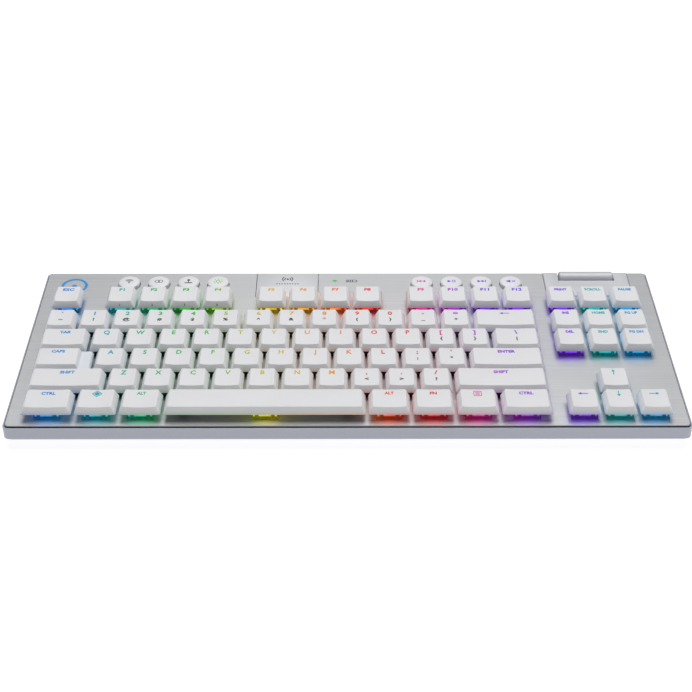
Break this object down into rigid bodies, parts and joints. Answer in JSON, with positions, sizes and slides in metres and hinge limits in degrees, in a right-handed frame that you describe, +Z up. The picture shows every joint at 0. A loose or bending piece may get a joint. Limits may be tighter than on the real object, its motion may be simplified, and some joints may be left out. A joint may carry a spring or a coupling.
{
  "type": "mechanical keyboard",
  "caption": "Low-profile wireless mechanical keyboard without a number pad: white keycaps on a brushed plate, round buttons, a volume roller and folding feet.",
  "frame": {"origin": "on the desk, under the middle of the case", "axes": "+X to the typist's right, +Y away from the typist, +Z up"},
  "size_m": [0.368, 0.1512, 0.022],
  "materials": {
    "brushed_plate": "brushed along the keyboard's length, satin",
    "case_plastic": "fine metallic paint, satin",
    "inner_steel": "plain rolled",
    "socket_steel": "drawn sheet, smooth",
    "circuit_board": "solder mask",
    "battery_wrap": "film wrap",
    "switch_plastic": "smooth, lit from below",
    "panel_plastic": "painted, satin",
    "blue_light": "lit lens",
    "green_light": "lit lens",
    "roller_metal": "turned, satin",
    "keycap_white": "fine matte, lit legends",
    "button_white": "satin",
    "rubber": "matte",
    "foot_plastic": "fine matte"
  },
  "bodies": {
    "case": {"top_plate": "brushed_plate", "base_tray": "case_plastic", "stiffener_plate": "inner_steel", "circuit_board": "circuit_board", "battery": "battery_wrap", "switch_housings": "switch_plastic", "antenna_window": "panel_plastic", "emblem_light": "blue_light", "status_light": "green_light", "roller_panel": "panel_plastic", "roller_axle": "inner_steel", "charging_socket": "socket_steel", "front_left_pad": "rubber", "front_right_pad": "rubber", "rear_left_pad": "rubber", "rear_right_pad": "rubber"},
    "roller": {"volume_roller": "roller_metal"},
    "power_switch": {"power_slider": "foot_plastic"},
    "tall_foot_left": {"tall_foot_left": "foot_plastic"},
    "short_foot_left": {"short_foot_left": "foot_plastic"},
    "tall_foot_right": {"tall_foot_right": "foot_plastic"},
    "short_foot_right": {"short_foot_right": "foot_plastic"},
    "left_ctrl_key": {"left_ctrl_key": "keycap_white"},
    "left_system_key": {"left_system_key": "keycap_white"},
    "left_alt_key": {"left_alt_key": "keycap_white"},
    "spacebar": {"spacebar": "keycap_white"},
    "right_alt_key": {"right_alt_key": "keycap_white"},
    "function_key": {"function_key": "keycap_white"},
    "menu_key": {"menu_key": "keycap_white"},
    "right_ctrl_key": {"right_ctrl_key": "keycap_white"},
    "left_arrow_key": {"left_arrow_key": "keycap_white"},
    "down_arrow_key": {"down_arrow_key": "keycap_white"},
    "right_arrow_key": {"right_arrow_key": "keycap_white"},
    "left_shift_key": {"left_shift_key": "keycap_white"},
    "lower_letter_keys": {"lower_letter_keys": "keycap_white"},
    "right_shift_key": {"right_shift_key": "keycap_white"},
    "up_arrow_key": {"up_arrow_key": "keycap_white"},
    "caps_lock_key": {"caps_lock_key": "keycap_white"},
    "home_letter_keys": {"home_letter_keys": "keycap_white"},
    "enter_key": {"enter_key": "keycap_white"},
    "tab_key": {"tab_key": "keycap_white"},
    "upper_letter_keys": {"upper_letter_keys": "keycap_white"},
    "backslash_key": {"backslash_key": "keycap_white"},
    "delete_end_page_down_keys": {"delete_end_page_down_keys": "keycap_white"},
    "number_keys": {"number_keys": "keycap_white"},
    "backspace_key": {"backspace_key": "keycap_white"},
    "insert_home_page_up_keys": {"insert_home_page_up_keys": "keycap_white"},
    "escape_key": {"escape_key": "keycap_white"},
    "f1_to_f4_keys": {"f1_to_f4_keys": "keycap_white"},
    "f5_to_f8_keys": {"f5_to_f8_keys": "keycap_white"},
    "f9_to_f12_keys": {"f9_to_f12_keys": "keycap_white"},
    "print_scroll_pause_keys": {"print_scroll_pause_keys": "keycap_white"},
    "wireless_button": {"wireless_button": "button_white"},
    "pairing_button": {"pairing_button": "button_white"},
    "game_mode_button": {"game_mode_button": "button_white"},
    "brightness_button": {"brightness_button": "button_white"},
    "previous_button": {"previous_button": "button_white"},
    "play_button": {"play_button": "button_white"},
    "next_button": {"next_button": "button_white"},
    "mute_button": {"mute_button": "button_white"}
  },
  "joints": [
    {"name": "volume_roller_turn", "type": "hinge", "parent": "case", "child": "roller", "pos_m": [0.14605, 0.0701, 0.012], "axis": [1, 0, 0], "continuous": true},
    {"name": "power_switch_slide", "type": "slide", "parent": "case", "child": "power_switch", "axis": [1, 0, 0], "range_m": [0, 0.003]},
    {"name": "tall_foot_left_fold", "type": "hinge", "parent": "case", "child": "tall_foot_left", "pos_m": [-0.15, 0.062, 0.003], "axis": [1, 0, 0], "range_deg": [0, 95]},
    {"name": "short_foot_left_fold", "type": "hinge", "parent": "case", "child": "short_foot_left", "pos_m": [-0.15, 0.062, 0.003], "axis": [1, 0, 0], "range_deg": [0, 95]},
    {"name": "tall_foot_right_fold", "type": "hinge", "parent": "case", "child": "tall_foot_right", "pos_m": [0.15, 0.062, 0.003], "axis": [1, 0, 0], "range_deg": [0, 95]},
    {"name": "short_foot_right_fold", "type": "hinge", "parent": "case", "child": "short_foot_right", "pos_m": [0.15, 0.062, 0.003], "axis": [1, 0, 0], "range_deg": [0, 95]},
    {"name": "left_ctrl_key_press", "type": "slide", "parent": "case", "child": "left_ctrl_key", "axis": [0, 0, -1], "range_m": [0, 0.0027], "stiffness_N_per_m": 125, "springref_m": -0.0024},
    {"name": "left_system_key_press", "type": "slide", "parent": "case", "child": "left_system_key", "axis": [0, 0, -1], "range_m": [0, 0.0027], "stiffness_N_per_m": 125, "springref_m": -0.0024},
    {"name": "left_alt_key_press", "type": "slide", "parent": "case", "child": "left_alt_key", "axis": [0, 0, -1], "range_m": [0, 0.0027], "stiffness_N_per_m": 125, "springref_m": -0.0024},
    {"name": "spacebar_press", "type": "slide", "parent": "case", "child": "spacebar", "axis": [0, 0, -1], "range_m": [0, 0.0027], "stiffness_N_per_m": 125, "springref_m": -0.0024},
    {"name": "right_alt_key_press", "type": "slide", "parent": "case", "child": "right_alt_key", "axis": [0, 0, -1], "range_m": [0, 0.0027], "stiffness_N_per_m": 125, "springref_m": -0.0024},
    {"name": "function_key_press", "type": "slide", "parent": "case", "child": "function_key", "axis": [0, 0, -1], "range_m": [0, 0.0027], "stiffness_N_per_m": 125, "springref_m": -0.0024},
    {"name": "menu_key_press", "type": "slide", "parent": "case", "child": "menu_key", "axis": [0, 0, -1], "range_m": [0, 0.0027], "stiffness_N_per_m": 125, "springref_m": -0.0024},
    {"name": "right_ctrl_key_press", "type": "slide", "parent": "case", "child": "right_ctrl_key", "axis": [0, 0, -1], "range_m": [0, 0.0027], "stiffness_N_per_m": 125, "springref_m": -0.0024},
    {"name": "left_arrow_key_press", "type": "slide", "parent": "case", "child": "left_arrow_key", "axis": [0, 0, -1], "range_m": [0, 0.0027], "stiffness_N_per_m": 125, "springref_m": -0.0024},
    {"name": "down_arrow_key_press", "type": "slide", "parent": "case", "child": "down_arrow_key", "axis": [0, 0, -1], "range_m": [0, 0.0027], "stiffness_N_per_m": 125, "springref_m": -0.0024},
    {"name": "right_arrow_key_press", "type": "slide", "parent": "case", "child": "right_arrow_key", "axis": [0, 0, -1], "range_m": [0, 0.0027], "stiffness_N_per_m": 125, "springref_m": -0.0024},
    {"name": "left_shift_key_press", "type": "slide", "parent": "case", "child": "left_shift_key", "axis": [0, 0, -1], "range_m": [0, 0.0027], "stiffness_N_per_m": 125, "springref_m": -0.0024},
    {"name": "lower_letter_keys_press", "type": "slide", "parent": "case", "child": "lower_letter_keys", "axis": [0, 0, -1], "range_m": [0, 0.0027], "stiffness_N_per_m": 1250, "springref_m": -0.0024},
    {"name": "right_shift_key_press", "type": "slide", "parent": "case", "child": "right_shift_key", "axis": [0, 0, -1], "range_m": [0, 0.0027], "stiffness_N_per_m": 125, "springref_m": -0.0024},
    {"name": "up_arrow_key_press", "type": "slide", "parent": "case", "child": "up_arrow_key", "axis": [0, 0, -1], "range_m": [0, 0.0027], "stiffness_N_per_m": 125, "springref_m": -0.0024},
    {"name": "caps_lock_key_press", "type": "slide", "parent": "case", "child": "caps_lock_key", "axis": [0, 0, -1], "range_m": [0, 0.0027], "stiffness_N_per_m": 125, "springref_m": -0.0024},
    {"name": "home_letter_keys_press", "type": "slide", "parent": "case", "child": "home_letter_keys", "axis": [0, 0, -1], "range_m": [0, 0.0027], "stiffness_N_per_m": 1375, "springref_m": -0.0024},
    {"name": "enter_key_press", "type": "slide", "parent": "case", "child": "enter_key", "axis": [0, 0, -1], "range_m": [0, 0.0027], "stiffness_N_per_m": 125, "springref_m": -0.0024},
    {"name": "tab_key_press", "type": "slide", "parent": "case", "child": "tab_key", "axis": [0, 0, -1], "range_m": [0, 0.0027], "stiffness_N_per_m": 125, "springref_m": -0.0024},
    {"name": "upper_letter_keys_press", "type": "slide", "parent": "case", "child": "upper_letter_keys", "axis": [0, 0, -1], "range_m": [0, 0.0027], "stiffness_N_per_m": 1500, "springref_m": -0.0024},
    {"name": "backslash_key_press", "type": "slide", "parent": "case", "child": "backslash_key", "axis": [0, 0, -1], "range_m": [0, 0.0027], "stiffness_N_per_m": 125, "springref_m": -0.0024},
    {"name": "delete_end_page_down_keys_press", "type": "slide", "parent": "case", "child": "delete_end_page_down_keys", "axis": [0, 0, -1], "range_m": [0, 0.0027], "stiffness_N_per_m": 375, "springref_m": -0.0024},
    {"name": "number_keys_press", "type": "slide", "parent": "case", "child": "number_keys", "axis": [0, 0, -1], "range_m": [0, 0.0027], "stiffness_N_per_m": 1625, "springref_m": -0.0024},
    {"name": "backspace_key_press", "type": "slide", "parent": "case", "child": "backspace_key", "axis": [0, 0, -1], "range_m": [0, 0.0027], "stiffness_N_per_m": 125, "springref_m": -0.0024},
    {"name": "insert_home_page_up_keys_press", "type": "slide", "parent": "case", "child": "insert_home_page_up_keys", "axis": [0, 0, -1], "range_m": [0, 0.0027], "stiffness_N_per_m": 375, "springref_m": -0.0024},
    {"name": "escape_key_press", "type": "slide", "parent": "case", "child": "escape_key", "axis": [0, 0, -1], "range_m": [0, 0.0027], "stiffness_N_per_m": 125, "springref_m": -0.0024},
    {"name": "f1_to_f4_keys_press", "type": "slide", "parent": "case", "child": "f1_to_f4_keys", "axis": [0, 0, -1], "range_m": [0, 0.0027], "stiffness_N_per_m": 500, "springref_m": -0.0024},
    {"name": "f5_to_f8_keys_press", "type": "slide", "parent": "case", "child": "f5_to_f8_keys", "axis": [0, 0, -1], "range_m": [0, 0.0027], "stiffness_N_per_m": 500, "springref_m": -0.0024},
    {"name": "f9_to_f12_keys_press", "type": "slide", "parent": "case", "child": "f9_to_f12_keys", "axis": [0, 0, -1], "range_m": [0, 0.0027], "stiffness_N_per_m": 500, "springref_m": -0.0024},
    {"name": "print_scroll_pause_keys_press", "type": "slide", "parent": "case", "child": "print_scroll_pause_keys", "axis": [0, 0, -1], "range_m": [0, 0.0027], "stiffness_N_per_m": 375, "springref_m": -0.0024},
    {"name": "wireless_button_press", "type": "slide", "parent": "case", "child": "wireless_button", "axis": [0, 0, -1], "range_m": [0, 0.0008], "stiffness_N_per_m": 400, "springref_m": -0.001},
    {"name": "pairing_button_press", "type": "slide", "parent": "case", "child": "pairing_button", "axis": [0, 0, -1], "range_m": [0, 0.0008], "stiffness_N_per_m": 400, "springref_m": -0.001},
    {"name": "game_mode_button_press", "type": "slide", "parent": "case", "child": "game_mode_button", "axis": [0, 0, -1], "range_m": [0, 0.0008], "stiffness_N_per_m": 400, "springref_m": -0.001},
    {"name": "brightness_button_press", "type": "slide", "parent": "case", "child": "brightness_button", "axis": [0, 0, -1], "range_m": [0, 0.0008], "stiffness_N_per_m": 400, "springref_m": -0.001},
    {"name": "previous_button_press", "type": "slide", "parent": "case", "child": "previous_button", "axis": [0, 0, -1], "range_m": [0, 0.0008], "stiffness_N_per_m": 400, "springref_m": -0.001},
    {"name": "play_button_press", "type": "slide", "parent": "case", "child": "play_button", "axis": [0, 0, -1], "range_m": [0, 0.0008], "stiffness_N_per_m": 400, "springref_m": -0.001},
    {"name": "next_button_press", "type": "slide", "parent": "case", "child": "next_button", "axis": [0, 0, -1], "range_m": [0, 0.0008], "stiffness_N_per_m": 400, "springref_m": -0.001},
    {"name": "mute_button_press", "type": "slide", "parent": "case", "child": "mute_button", "axis": [0, 0, -1], "range_m": [0, 0.0008], "stiffness_N_per_m": 400, "springref_m": -0.001}
  ]
}
